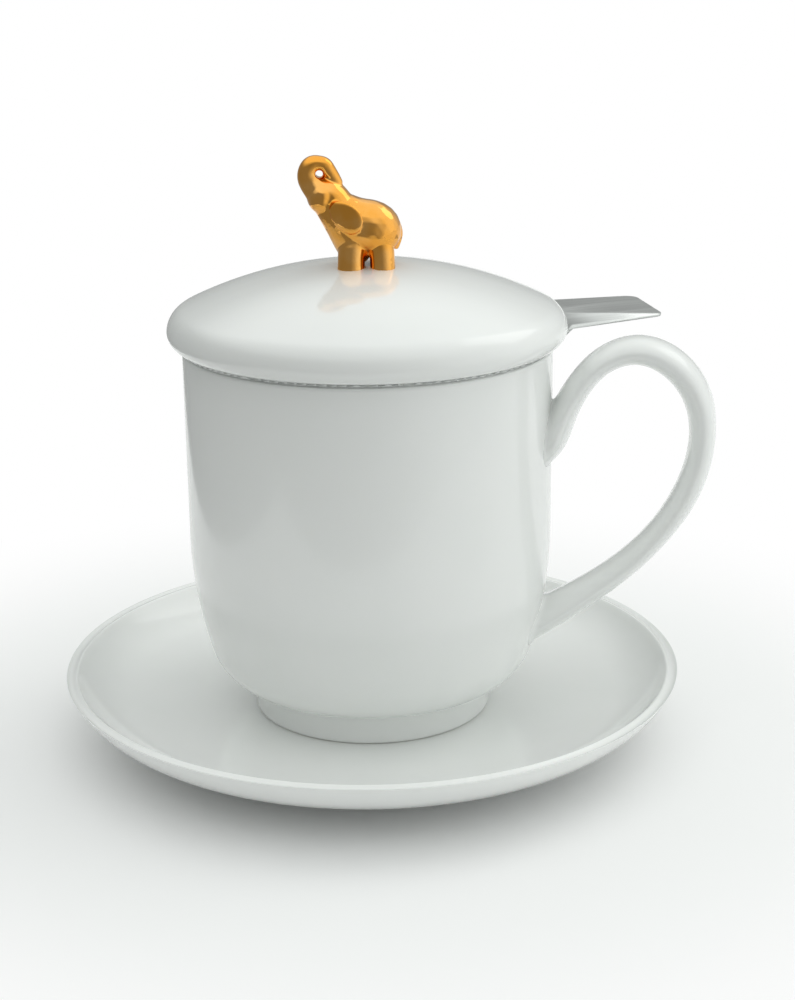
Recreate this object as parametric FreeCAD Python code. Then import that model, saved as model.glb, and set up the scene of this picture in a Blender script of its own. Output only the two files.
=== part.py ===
"""Lidded tea mug on a saucer, with a drop-in steel infuser and a gilt elephant on the lid."""
import FreeCAD, Part
import math
import os

# The frame: origin at the centre of the saucer's foot, on the table; +Z up; +X towards the handle.

# Saucer
SAUCER_RADIUS = 75.0
SAUCER_HEIGHT = 20.0
SAUCER_WELL_HEIGHT = 7.5
SAUCER_WALL = 3.6
SAUCER_RIM_WALL = 2.6
SAUCER_FOOT_MARGIN = 9.1
SAUCER_FOOT_WIDTH = 3.2
SAUCER_FOOT_TAPER = 0.6
SAUCER_WELL_INSET = 2.0
SAUCER_TURN_IN = 0.80
SAUCER_BOWL_SHARE = 0.22
SAUCER_BOWL_WALL = 0.86
SAUCER_UNDER_BULGE = 0.5
SAUCER_SIDE_BULGE = 2.3
SAUCER_BOWL_HOLLOW = 1.7
SAUCER_WELL_HOLLOW = 0.5

# Mug
MUG_RADIUS = 43.5
MUG_HEIGHT = 89.8
MUG_WALL = 3.0
MUG_BELLY_SHARE = 0.5
MUG_BELLY_ROUND = 100.0
MUG_HIP_ROUND = 13.0
MUG_FOOT_INSET = 14.6
MUG_FOOT_FLARE = 0.7
MUG_FOOT_WIDTH = 3.0
MUG_FOOT_DEPTH = 6.9
MUG_FOOT_HOLLOW = 6.3
MUG_FOOT_CHAMFER = 0.5
MUG_FOOT_COVE = 0.35
MUG_FOOT_DRAFT = 0.4
MUG_RIM_ROUND = 0.7

# Handle
HANDLE_REACH = 35.1
HANDLE_WIDTH = 13.6
HANDLE_THICKNESS = 6.4

# Infuser
SHEET = 0.6
RING_SHEET = 0.6
RING_OVERHANG = 0.1
BASKET_GAP = 3.9
BASKET_CLEAR_HEIGHT = 15.9
BASE_UPSTAND = 1.8
BASE_CLEARANCE = 0.05
WALL_HOLE_RADIUS = 0.9
WALL_HOLE_COLUMNS = 30
WALL_HOLE_ROWS = 7
WALL_PLAIN_BAND = 8.0
BASE_HOLE_RADIUS = 0.9
BASE_HOLE_RINGS = 4
BASE_HOLE_MARGIN = 8.8

# Infuser tab
TAB_AZIMUTH = 28.5
TAB_LENGTH = 30.9
TAB_ROOT_WIDTH = 33.0
TAB_END_WIDTH = 22.8
TAB_END_SKEW = 11.0
TAB_CORNER = 3.0
TAB_RISE = 2.6
TAB_RISE_RUN = 3.3

# Lid
LID_OVERHANG = 3.4
LID_LIP_RISE = 3.44
LID_WALL = 3.4
LID_CROWN_RADIUS = 100.0
LID_SHOULDER_RADIUS = 6.0
LID_SEAT_WIDTH = 3.0
LID_SPIGOT_CLEARANCE = 0.8
LID_SPIGOT_DEPTH = 5.0
LID_SPIGOT_WALL = 2.8
LID_LIP_BULGE = 0.8
LID_TAB_CLEARANCE = 1.7

# Finial, an elephant that faces away from the handle
FINIAL_HEADING = 188.0
FINIAL_SIDE = 3.0
FINIAL_HEIGHT = 25.8
FINIAL_BODY_LENGTH = 14.0
FINIAL_BODY_RADIUS = 6.3
FINIAL_BODY_SLOPE = 0.25
FINIAL_STANCE = 3.2
FINIAL_FORELEG_RADIUS = 2.9
FINIAL_HINDLEG_RADIUS = 2.4
FINIAL_LEG_TAPER = 0.92
FINIAL_EYELET_RADIUS = 0.7
FINIAL_SINK = 0.4

# Spots on the elephant, ahead and up, as shares of its height
BELLY_SPOT = (-0.047, 0.335)
CHEST_SPOT = (0.115, 0.100)
NECK_SPOT = (0.200, 0.390)
HEAD_SPOT = (0.435, 0.805)
TRUNK_SPOT = (0.315, 0.835)
EYELET_SPOT = (0.419, 0.830)
EAR_SPOT = (0.155, 0.460)
FORELEG_SPOT = (0.124, 0.280)
HINDLEG_SPOT = (-0.155, 0.280)
EAR_SIDE = 0.185

# Girths on the elephant, as shares of its height: radius, then half length or end radius
CHEST_LIMB = (0.120, 0.150)
NECK_BLOB = (0.158, 0.175)
NECK_LIMB = (0.150, 0.166)
HEAD_BLOB = (0.180, 0.115)
TRUNK_BLOB = (0.063, 0.150)
EAR_BLOB = (0.148, 0.055)
TRUNK_SLOPE = 1.24

# Sizes and heights that follow from the ones above
MUG_FOOT_RADIUS = MUG_RADIUS - MUG_FOOT_INSET
SAUCER_FOOT_RADIUS = MUG_FOOT_RADIUS + SAUCER_FOOT_MARGIN
BASKET_RADIUS = MUG_RADIUS - MUG_WALL - BASKET_GAP
BASE_HOLE_PITCH = (BASKET_RADIUS - SHEET - BASE_HOLE_MARGIN) / BASE_HOLE_RINGS
TAB_REACH = MUG_RADIUS + TAB_LENGTH
LID_RADIUS = MUG_RADIUS + LID_OVERHANG
LID_SEAT_OUTER = MUG_RADIUS
LID_SEAT_INNER = LID_SEAT_OUTER - LID_SEAT_WIDTH
MUG_BASE = SAUCER_WELL_HEIGHT
MUG_FLOOR = MUG_BASE + MUG_FOOT_DEPTH + MUG_WALL
MUG_TOP = MUG_BASE + MUG_HEIGHT
BASKET_BASE = MUG_FLOOR + BASKET_CLEAR_HEIGHT
RING_TOP = MUG_TOP + RING_SHEET
LID_CROWN_REACH = (LID_RADIUS - LID_SHOULDER_RADIUS) / (LID_CROWN_RADIUS - LID_SHOULDER_RADIUS)
LID_CROWN_LEVEL = (LID_CROWN_RADIUS - LID_SHOULDER_RADIUS) * math.sqrt(1 - LID_CROWN_REACH ** 2)
LID_TOP = RING_TOP + LID_LIP_RISE + LID_CROWN_RADIUS - LID_CROWN_LEVEL

# Bulge of a quarter round, as a share of its radius
QUARTER_ROUND = 0.29

UP = FreeCAD.Vector(0, 0, 1)
CENTRE = FreeCAD.Vector(0, 0, 0)


def point(radius, height):
    """A point of a turned outline, in the XZ plane."""
    return FreeCAD.Vector(radius, 0, height)


def segment(start, end, bulge):
    """A line, or an arc whose middle lies bulge to the right of the way from start to end."""
    chord = end - start
    if abs(bulge) < 1e-9:
        return Part.LineSegment(start, end).toShape()
    aside = FreeCAD.Vector(chord.z, 0, -chord.x).normalize()
    middle = (start + end) * 0.5 + aside * bulge
    return Part.Arc(start, middle, end).toShape()


def closed_wire(stations):
    """A closed outline in the XZ plane; each station is (radius, height, bulge of the way there)."""
    edges = []
    previous = stations[-1]
    for station in stations:
        start = point(previous[0], previous[1])
        end = point(station[0], station[1])
        edges.append(segment(start, end, station[2]))
        previous = station
    return Part.Wire(edges)


def turned(stations):
    """The solid that an outline sweeps round the Z axis."""
    return Part.Face(closed_wire(stations)).revolve(CENTRE, UP, 360)


def turned_about_z(shape, degrees):
    """A copy of the shape, turned about the Z axis."""
    copy = shape.copy()
    copy.rotate(CENTRE, UP, degrees)
    return copy


def make_saucer():
    """A coupe saucer: flat well, gently rising bowl, rounded rim and a turned foot ring."""
    foot_in = SAUCER_FOOT_RADIUS - SAUCER_FOOT_WIDTH
    under = SAUCER_WELL_HEIGHT - SAUCER_WALL
    turn_in = SAUCER_RADIUS * SAUCER_TURN_IN
    rim_in = SAUCER_RADIUS - SAUCER_RIM_WALL
    lip = SAUCER_RIM_WALL * 0.5
    bowl_low = SAUCER_WELL_HEIGHT + (SAUCER_HEIGHT - SAUCER_WELL_HEIGHT) * SAUCER_BOWL_SHARE
    outline = [
        (foot_in, 0.0, 0.0),
        (SAUCER_FOOT_RADIUS - SAUCER_FOOT_TAPER, 0.0, 0.0),
        (SAUCER_FOOT_RADIUS, under, 0.0),
        (turn_in, bowl_low - SAUCER_WALL * SAUCER_BOWL_WALL, SAUCER_UNDER_BULGE),
        (SAUCER_RADIUS, SAUCER_HEIGHT - lip, SAUCER_SIDE_BULGE),
        (rim_in, SAUCER_HEIGHT - lip, lip),
        (turn_in - 1.0, bowl_low, -SAUCER_BOWL_HOLLOW),
        (SAUCER_FOOT_RADIUS - SAUCER_WELL_INSET, SAUCER_WELL_HEIGHT, -SAUCER_WELL_HOLLOW),
        (0.0, SAUCER_WELL_HEIGHT, 0.0),
        (0.0, under, 0.0),
        (foot_in - SAUCER_FOOT_TAPER, under, 0.0),
    ]
    return turned(outline)


def sagitta(start, end, radius):
    """How far an arc of a radius bows out from its chord."""
    half_chord = 0.5 * math.hypot(end[0] - start[0], end[1] - start[1])
    return radius - math.sqrt(radius ** 2 - half_chord ** 2)


def mug_skin(inset):
    """The side of the mug at an inset below its outside: hip, belly and upright, as true offsets.

    Returns the hip arc's centre and radius, then the points where hip meets belly and belly
    meets the upright wall, and the belly's radius.
    """
    belly = MUG_BELLY_ROUND - inset
    hip = MUG_HIP_ROUND - inset
    belly_height = MUG_BASE + MUG_BELLY_SHARE * MUG_HEIGHT
    hip_height = MUG_BASE + MUG_FOOT_DEPTH + MUG_HIP_ROUND
    drop = (belly_height - hip_height) / (MUG_BELLY_ROUND - MUG_HIP_ROUND)
    level = math.sqrt(1 - drop ** 2)
    belly_axis = MUG_RADIUS - MUG_BELLY_ROUND
    hip_axis = belly_axis + (MUG_BELLY_ROUND - MUG_HIP_ROUND) * level
    join = (hip_axis + hip * level, hip_height - hip * drop)
    upright = (MUG_RADIUS - inset, belly_height)
    return (hip_axis, hip_height), hip, join, upright, belly


def mug_outer_stations():
    """The mug's outside, from the foot's outer edge up to the rim."""
    hip_centre, hip, join, upright, belly = mug_skin(0.0)
    root = MUG_FOOT_RADIUS + MUG_FOOT_FLARE
    foot_root = (root, hip_centre[1] - math.sqrt(hip ** 2 - (root - hip_centre[0]) ** 2))
    return [
        (MUG_FOOT_RADIUS - MUG_FOOT_CHAMFER, MUG_BASE, 0.0),
        (MUG_FOOT_RADIUS, MUG_BASE + MUG_FOOT_CHAMFER, MUG_FOOT_CHAMFER * QUARTER_ROUND),
        foot_root + (-MUG_FOOT_COVE,),
        join + (sagitta(foot_root, join, hip),),
        upright + (sagitta(join, upright, belly),),
        (MUG_RADIUS, MUG_TOP - MUG_RIM_ROUND, 0.0),
    ]


def make_mug_body():
    """The cast body: foot ring, round hip, gentle belly, upright wall and a softly rounded rim."""
    hip_centre, hip, join, upright, belly = mug_skin(MUG_WALL)
    floor = (hip_centre[0], hip_centre[1] - hip)
    inner = MUG_RADIUS - MUG_WALL
    foot_in = MUG_FOOT_RADIUS - MUG_FOOT_WIDTH
    hollow = MUG_BASE + MUG_FOOT_HOLLOW
    bore = [
        (MUG_RADIUS - MUG_RIM_ROUND, MUG_TOP, MUG_RIM_ROUND * QUARTER_ROUND),
        (inner + MUG_RIM_ROUND, MUG_TOP, 0.0),
        (inner, MUG_TOP - MUG_RIM_ROUND, MUG_RIM_ROUND * QUARTER_ROUND),
        upright + (0.0,),
        join + (-sagitta(upright, join, belly),),
        floor + (-sagitta(join, floor, hip),),
        (0.0, MUG_FLOOR, 0.0),
        (0.0, hollow, 0.0),
        (foot_in - 2 * MUG_FOOT_DRAFT, hollow, 0.0),
        (foot_in + MUG_FOOT_DRAFT, MUG_BASE, 0.0),
    ]
    return turned(mug_outer_stations() + bore)


def mug_envelope():
    """The mug's outside as a full solid, against which the handle is fitted."""
    closing = [(MUG_RADIUS, MUG_TOP, 0.0), (0.0, MUG_TOP, 0.0), (0.0, MUG_BASE, 0.0)]
    return turned(mug_outer_stations() + closing)


def handle_stations():
    """Stations of the strap from the upper root round to the lower root.

    Each holds the centre as a share of the reach beyond the wall and of the mug's height,
    then the strap's width and thickness as shares of those in the middle of its run.
    """
    return [
        (-0.045, 0.708, 1.20, 0.62),
        (0.005, 0.750, 1.52, 1.00),
        (0.065, 0.812, 1.42, 1.04),
        (0.175, 0.897, 1.18, 0.94),
        (0.345, 0.968, 1.04, 0.94),
        (0.560, 0.995, 1.00, 1.02),
        (0.805, 0.957, 1.00, 1.09),
        (0.963, 0.870, 0.98, 1.06),
        (1.000, 0.765, 0.96, 0.97),
        (0.933, 0.640, 0.95, 0.97),
        (0.750, 0.513, 0.95, 0.90),
        (0.500, 0.408, 0.98, 0.92),
        (0.225, 0.326, 1.10, 1.00),
        (0.020, 0.274, 1.30, 1.08),
        (-0.150, 0.235, 1.44, 1.10),
    ]


def oval_wire(centre, along, wide, width, thickness):
    """An elliptic section, square to the way along, with its long axis on wide."""
    thin = along.cross(wide)
    ellipse = Part.Ellipse(centre + wide * (width * 0.5), centre + thin * (thickness * 0.5), centre)
    return Part.Wire(ellipse.toShape())


def make_mug_handle():
    """The ear handle: an oval strap that flares at both roots, cut to the mug's outside."""
    stations = handle_stations()
    centres = []
    for share_out, share_up, _, _ in stations:
        centres.append(point(MUG_RADIUS + share_out * HANDLE_REACH, MUG_BASE + share_up * MUG_HEIGHT))
    course = Part.BSplineCurve()
    course.interpolate(centres)
    sections = []
    for centre, station in zip(centres, stations):
        along = FreeCAD.Vector(*course.tangent(course.parameter(centre))[0])
        width = HANDLE_WIDTH * station[2]
        thickness = HANDLE_THICKNESS * station[3]
        sections.append(oval_wire(centre, along, FreeCAD.Vector(0, 1, 0), width, thickness))
    strap = Part.makeLoft(sections, True, False)
    return strap.cut(mug_envelope())


def tab_sheet():
    """The dished sheet that the tab is cut from: level with the ring, a short rise, then level."""
    start = BASKET_RADIUS - SHEET
    rise_start = LID_RADIUS - LID_TAB_CLEARANCE
    rise_end = rise_start + TAB_RISE_RUN
    far = TAB_REACH * 1.3
    low = MUG_TOP
    high = MUG_TOP + TAB_RISE
    under = [point(start, low), point(rise_start, low), point(rise_end, high), point(far, high)]
    over = [corner + UP * RING_SHEET for corner in reversed(under)]
    return Part.Face(Part.makePolygon(under + over + under[:1])).revolve(CENTRE, UP, 360)


def tab_plan():
    """Plan view of the tab, standing tall: it narrows to a blunt, slightly skewed, soft-cornered end."""
    ring_out = MUG_RADIUS - RING_OVERHANG
    half_end = TAB_END_WIDTH * 0.5
    taper = (TAB_ROOT_WIDTH * 0.5 - half_end) / (TAB_REACH - ring_out)
    start = BASKET_RADIUS * 0.9
    half_start = half_end + taper * (TAB_REACH - start)
    skew = half_end * math.tan(math.radians(TAB_END_SKEW))
    near = TAB_REACH - skew
    far = TAB_REACH + skew
    corners = [
        (start, -half_start),
        (near, -half_end - taper * (TAB_REACH - near)),
        (far, half_end + taper * (TAB_REACH - far)),
        (start, half_start),
    ]
    outline = [FreeCAD.Vector(x, y, 0) for x, y in corners]
    block = Part.Face(Part.makePolygon(outline + outline[:1])).extrude(UP * (2 * LID_TOP))
    upright_ends = []
    for edge in block.Edges:
        low, high = edge.Vertexes[0].Point, edge.Vertexes[1].Point
        upright = math.hypot(low.x - high.x, low.y - high.y) < 1e-6
        if upright and low.x > 0.5 * (start + near):
            upright_ends.append(edge)
    return block.makeFillet(TAB_CORNER, upright_ends)


def make_infuser_rim():
    """The pressed ring that hangs on the mug's rim, in one piece with its finger tab."""
    ring_in = BASKET_RADIUS - SHEET
    ring_out = MUG_RADIUS - RING_OVERHANG
    ring = Part.makeCylinder(ring_out, RING_SHEET, point(0, MUG_TOP))
    tab = tab_sheet().common(turned_about_z(tab_plan(), TAB_AZIMUTH))
    mouth = Part.makeCylinder(ring_in, 4 * RING_SHEET, point(0, MUG_TOP - RING_SHEET))
    return ring.fuse(tab).cut(mouth).removeSplitter()


def make_infuser_wall():
    """The rolled sheet wall of the basket, pierced by staggered rows of holes."""
    low = BASKET_BASE
    outer = Part.makeCylinder(BASKET_RADIUS, MUG_TOP - low, point(0, low))
    inner = Part.makeCylinder(BASKET_RADIUS - SHEET, MUG_TOP - low, point(0, low))
    first = low + BASE_UPSTAND + WALL_PLAIN_BAND * 0.5
    last = MUG_TOP - WALL_PLAIN_BAND
    holes = []
    for row in range(WALL_HOLE_ROWS):
        height = first + (last - first) * row / (WALL_HOLE_ROWS - 1)
        for column in range(WALL_HOLE_COLUMNS):
            turn = math.radians(360.0 * (column + 0.5 * (row % 2)) / WALL_HOLE_COLUMNS)
            outward = FreeCAD.Vector(math.cos(turn), math.sin(turn), 0)
            start = outward * (BASKET_RADIUS - 3 * SHEET) + UP * height
            holes.append(Part.makeCylinder(WALL_HOLE_RADIUS, 5 * SHEET, start, outward))
    return outer.cut(inner).cut(Part.makeCompound(holes))


def make_infuser_base():
    """The pressed dish that closes the basket, with a short upstand inside the wall."""
    low = BASKET_BASE
    outer = BASKET_RADIUS - SHEET - BASE_CLEARANCE
    rim = low + BASE_UPSTAND
    outline = [
        (0.0, low, 0.0),
        (outer - SHEET, low, 0.0),
        (outer, low + SHEET, SHEET * QUARTER_ROUND),
        (outer, rim, 0.0),
        (outer - SHEET, rim, 0.0),
        (outer - SHEET, low + SHEET, 0.0),
        (0.0, low + SHEET, 0.0),
    ]
    dish = turned(outline)
    holes = [Part.makeCylinder(BASE_HOLE_RADIUS, 3 * SHEET, point(0, low - SHEET))]
    for ring in range(1, BASE_HOLE_RINGS + 1):
        for step in range(6 * ring):
            turn = math.radians(60.0 * step / ring)
            away = FreeCAD.Vector(math.cos(turn), math.sin(turn), 0) * (ring * BASE_HOLE_PITCH)
            holes.append(Part.makeCylinder(BASE_HOLE_RADIUS, 3 * SHEET, away + UP * (low - SHEET)))
    return dish.cut(Part.makeCompound(holes))


def lid_crown(inset):
    """Height and radius where the crown meets the shoulder, for a skin inset below the outside."""
    crown = LID_CROWN_RADIUS - inset
    shoulder = LID_SHOULDER_RADIUS
    sine = (LID_RADIUS - inset - shoulder) / (crown - shoulder)
    cosine = math.sqrt(1 - sine ** 2)
    top = LID_TOP - inset
    joint = point(crown * sine, top - crown * (1 - cosine))
    half = math.asin(sine) * 0.5
    middle = point(crown * math.sin(half), top - crown * (1 - math.cos(half)))
    widest = point(LID_RADIUS - inset, top - crown + (crown - shoulder) * cosine)
    quarter = (math.asin(sine) + math.pi * 0.5) * 0.5
    hub = point((crown - shoulder) * sine, widest.z)
    bend = hub + point(shoulder * math.sin(quarter), shoulder * math.cos(quarter))
    return point(0, top), middle, joint, bend, widest


def inner_crown_height(radius):
    """Height of the crown's underside at a radius."""
    crown = LID_CROWN_RADIUS - LID_WALL
    return LID_TOP - LID_WALL - crown + math.sqrt(crown ** 2 - radius ** 2)


def make_lid_shell():
    """The domed lid: crown, rounded edge, seat on the infuser's ring and a spigot in its mouth."""
    top, middle, joint, bend, widest = lid_crown(0.0)
    spigot = BASKET_RADIUS - SHEET - LID_SPIGOT_CLEARANCE
    spigot_in = spigot - LID_SPIGOT_WALL
    foot = RING_TOP - LID_SPIGOT_DEPTH
    seat_out = point(LID_SEAT_OUTER, RING_TOP)
    seat_in = point(LID_SEAT_INNER, RING_TOP)
    groove_out = point(LID_SEAT_INNER, inner_crown_height(LID_SEAT_INNER))
    groove_in = point(spigot, inner_crown_height(spigot))
    groove_mid = point((spigot + LID_SEAT_INNER) * 0.5, inner_crown_height((spigot + LID_SEAT_INNER) * 0.5))
    hollow = point(spigot_in, inner_crown_height(spigot_in))
    hollow_mid = point(spigot_in * 0.5, inner_crown_height(spigot_in * 0.5))
    hollow_top = point(0, LID_TOP - LID_WALL)
    edges = [
        Part.Arc(top, middle, joint).toShape(),
        Part.Arc(joint, bend, widest).toShape(),
        segment(widest, seat_out, LID_LIP_BULGE),
        segment(seat_out, seat_in, 0.0),
        segment(seat_in, groove_out, 0.0),
        Part.Arc(groove_out, groove_mid, groove_in).toShape(),
        segment(groove_in, point(spigot, foot), 0.0),
        segment(point(spigot, foot), point(spigot_in, foot), LID_SPIGOT_WALL * QUARTER_ROUND),
        segment(point(spigot_in, foot), hollow, 0.0),
        Part.Arc(hollow, hollow_mid, hollow_top).toShape(),
        segment(hollow_top, top, 0.0),
    ]
    return Part.Face(Part.Wire(edges)).revolve(CENTRE, UP, 360)


def spheroid(radius, half_length, centre, axis):
    """A smooth blob turned about an axis through its centre, of a girth radius and a half length."""
    girth = FreeCAD.Vector(radius, 0, 0)
    pole = UP * half_length
    quarter = math.pi * 0.5
    if half_length > radius:
        arc = Part.ArcOfEllipse(Part.Ellipse(pole, girth, CENTRE), 0, 2 * quarter)
    else:
        arc = Part.ArcOfEllipse(Part.Ellipse(girth, pole, CENTRE), -quarter, quarter)
    chord = Part.LineSegment(arc.EndPoint, arc.StartPoint)
    blob = Part.Face(Part.Wire([arc.toBSpline().toShape(), chord.toShape()])).revolve(CENTRE, UP, 360)
    blob.Placement = FreeCAD.Placement(centre, FreeCAD.Rotation(UP, axis))
    return blob


def limb(start, end, start_radius, end_radius):
    """A round limb that tapers from one point to another."""
    way = end - start
    return Part.makeCone(start_radius, end_radius, way.Length, start, way)


def crown_ball():
    """The ball that the lid's crown is part of, as it lies to the elephant's own centre line."""
    centre = FreeCAD.Vector(0, -FINIAL_SIDE, LID_TOP - LID_CROWN_RADIUS)
    return Part.makeSphere(LID_CROWN_RADIUS, centre, FreeCAD.Vector(1, 0, 0))


def spot(place, side=0.0):
    """A point of the elephant from its shares of the height, and a distance to one side."""
    height = LID_TOP - FINIAL_SINK + place[1] * FINIAL_HEIGHT
    return FreeCAD.Vector(place[0] * FINIAL_HEIGHT, side, height)


def scaled_blob(shares, centre, axis):
    """A blob of the elephant from its girth and half length as shares of the height."""
    return spheroid(shares[0] * FINIAL_HEIGHT, shares[1] * FINIAL_HEIGHT, centre, axis)


def make_leg(place, side, radius):
    """One leg, cut to the crown that it stands on."""
    top = spot(place, side)
    foot = FreeCAD.Vector(top.x, top.y, LID_TOP - LID_WALL * 0.5)
    return limb(foot, top, radius, radius * FINIAL_LEG_TAPER).cut(crown_ball())


def make_lid_finial():
    """The gilt elephant, cast with its feet on the lid's crown."""
    unit = FINIAL_HEIGHT
    across = FreeCAD.Vector(0, 1, 0)
    spine = FreeCAD.Vector(1, 0, FINIAL_BODY_SLOPE)
    body = spheroid(FINIAL_BODY_RADIUS, FINIAL_BODY_LENGTH * 0.5, spot(BELLY_SPOT), spine)
    neck = spot(NECK_SPOT)
    head = spot(HEAD_SPOT)
    pieces = [
        limb(spot(CHEST_SPOT), neck, CHEST_LIMB[0] * unit, CHEST_LIMB[1] * unit),
        scaled_blob(NECK_BLOB, neck, across),
        limb(neck, head, NECK_LIMB[0] * unit, NECK_LIMB[1] * unit),
        scaled_blob(HEAD_BLOB, head, across),
        scaled_blob(TRUNK_BLOB, spot(TRUNK_SPOT), FreeCAD.Vector(1, 0, TRUNK_SLOPE)),
    ]
    for side in (-1, 1):
        pieces.append(scaled_blob(EAR_BLOB, spot(EAR_SPOT, side * EAR_SIDE * unit), across))
        pieces.append(make_leg(FORELEG_SPOT, side * FINIAL_STANCE, FINIAL_FORELEG_RADIUS))
        pieces.append(make_leg(HINDLEG_SPOT, side * FINIAL_STANCE, FINIAL_HINDLEG_RADIUS))
    eyelet = Part.makeCylinder(FINIAL_EYELET_RADIUS, 2 * unit, spot(EYELET_SPOT, -unit), across)
    figure = body.fuse(pieces).cut(eyelet)
    figure.translate(FreeCAD.Vector(0, FINIAL_SIDE, 0))
    return turned_about_z(figure, FINIAL_HEADING)


def write_step(name, shape):
    """Write one piece and print its volume and box, so that a failed cut is noticed."""
    box = shape.BoundBox
    spans = "x %.1f..%.1f y %.1f..%.1f z %.1f..%.1f" % (
        box.XMin, box.XMax, box.YMin, box.YMax, box.ZMin, box.ZMax)
    print("%s: %d solid(s), %.1f mm3, valid %s, %s" % (
        name, len(shape.Solids), shape.Volume, shape.isValid(), spans))
    shape.exportStep(os.path.join("parts", name + ".step"))


def main():
    """Build every piece and write it to the parts folder."""
    os.makedirs("parts", exist_ok=True)
    pieces = {
        "saucer": make_saucer(),
        "mug_body": make_mug_body(),
        "mug_handle": make_mug_handle(),
        "infuser_rim": make_infuser_rim(),
        "infuser_wall": make_infuser_wall(),
        "infuser_base": make_infuser_base(),
        "lid_shell": make_lid_shell(),
        "lid_finial": make_lid_finial(),
    }
    for name, shape in pieces.items():
        write_step(name, shape)


main()
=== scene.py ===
"""A white china tea mug on its saucer, with a pierced steel infuser and a gilt elephant on the lid.

Sizes are in millimetres in the classes and become metres when a mesh is made. The frame is the
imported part's own: +Z up from the table, +X towards the mug's handle.
"""
from __future__ import annotations

import itertools
import logging
import math
from dataclasses import dataclass, field
from enum import Enum
from typing import Callable, Sequence

import bmesh
import bpy
import numpy as np
from bmesh.types import BMesh
from bpy.types import ID, Material, Mesh, Node, NodeSocket, NodeTree, Object
from mathutils import Matrix, Vector

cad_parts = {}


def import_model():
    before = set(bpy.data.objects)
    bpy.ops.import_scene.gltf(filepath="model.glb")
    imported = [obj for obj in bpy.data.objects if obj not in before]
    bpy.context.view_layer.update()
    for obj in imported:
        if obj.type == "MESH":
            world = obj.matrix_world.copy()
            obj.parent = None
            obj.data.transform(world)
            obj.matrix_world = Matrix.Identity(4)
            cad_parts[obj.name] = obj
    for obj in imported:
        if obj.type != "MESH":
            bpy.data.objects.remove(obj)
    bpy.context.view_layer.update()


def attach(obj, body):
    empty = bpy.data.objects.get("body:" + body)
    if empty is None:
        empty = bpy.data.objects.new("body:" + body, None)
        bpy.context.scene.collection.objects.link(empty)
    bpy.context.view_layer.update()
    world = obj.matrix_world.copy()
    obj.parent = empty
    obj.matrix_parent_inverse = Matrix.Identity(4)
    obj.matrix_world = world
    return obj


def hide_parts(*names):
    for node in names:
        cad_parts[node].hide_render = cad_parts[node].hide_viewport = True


LOG = logging.getLogger("tea_mug")
MM = 0.001

Pair = tuple[float, float]
Triple = tuple[float, float, float]
Quad = tuple[float, float, float, float]

# Bulge of a quarter round, as a share of its radius
QUARTER_ROUND = 0.29
# A radius below this lies on the axis
ON_AXIS = 1e-6


class Body(Enum):
    """The bodies that pieces ride on."""

    SAUCER = "saucer"
    MUG = "mug"
    INFUSER = "infuser"
    LID = "lid"


class Slot(Enum):
    """The record's material slots."""

    CHINA = "white_china"
    STEEL = "infuser_steel"
    GILT = "gilt_china"


# Shader maths


def math_operator(operation: str, swapped: bool = False) -> Callable[["Signal", object], "Signal"]:
    """An operator of Signal, which adds one Math node.

    Args:
        operation: The Math node's operation.
        swapped: Whether the other operand comes first.

    Returns:
        The operator as a method.
    """
    def method(self: "Signal", other: object) -> "Signal":
        """Add the node."""
        first, second = (other, self) if swapped else (self, other)
        return self.book.number("ShaderNodeMath", {"operation": operation}, {0: first, 1: second})

    return method


class Signal:
    """A node socket that carries a number and takes part in sums."""

    __add__, __radd__ = math_operator("ADD"), math_operator("ADD", swapped=True)
    __sub__, __rsub__ = math_operator("SUBTRACT"), math_operator("SUBTRACT", swapped=True)
    __mul__, __rmul__ = math_operator("MULTIPLY"), math_operator("MULTIPLY", swapped=True)
    __truediv__, __pow__ = math_operator("DIVIDE"), math_operator("POWER")
    above, modulo = math_operator("MAXIMUM"), math_operator("MODULO")

    def __init__(self, book: "NodeBook", socket: NodeSocket) -> None:
        """Wrap a socket of a book's node tree."""
        self.book = book
        self.socket = socket

    def turned_by(self, operation: str) -> "Signal":
        """A Math node on this value alone."""
        return self.book.number("ShaderNodeMath", {"operation": operation}, {0: self})

    def step(self, low: float, high: float) -> "Signal":
        """A smooth step from 0 at low to 1 at high, or from 1 to 0 where high is the lower.

        Args:
            low: Value at which the step starts.
            high: Value at which the step ends.

        Returns:
            The stepped signal.
        """
        start, end = (low, high) if low < high else (high, low)
        settings = {"interpolation_type": "SMOOTHSTEP"}
        values = {"Value": self, "From Min": start, "From Max": end}
        rise = self.book.number("ShaderNodeMapRange", settings, values)
        return rise if low < high else 1 - rise


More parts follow.
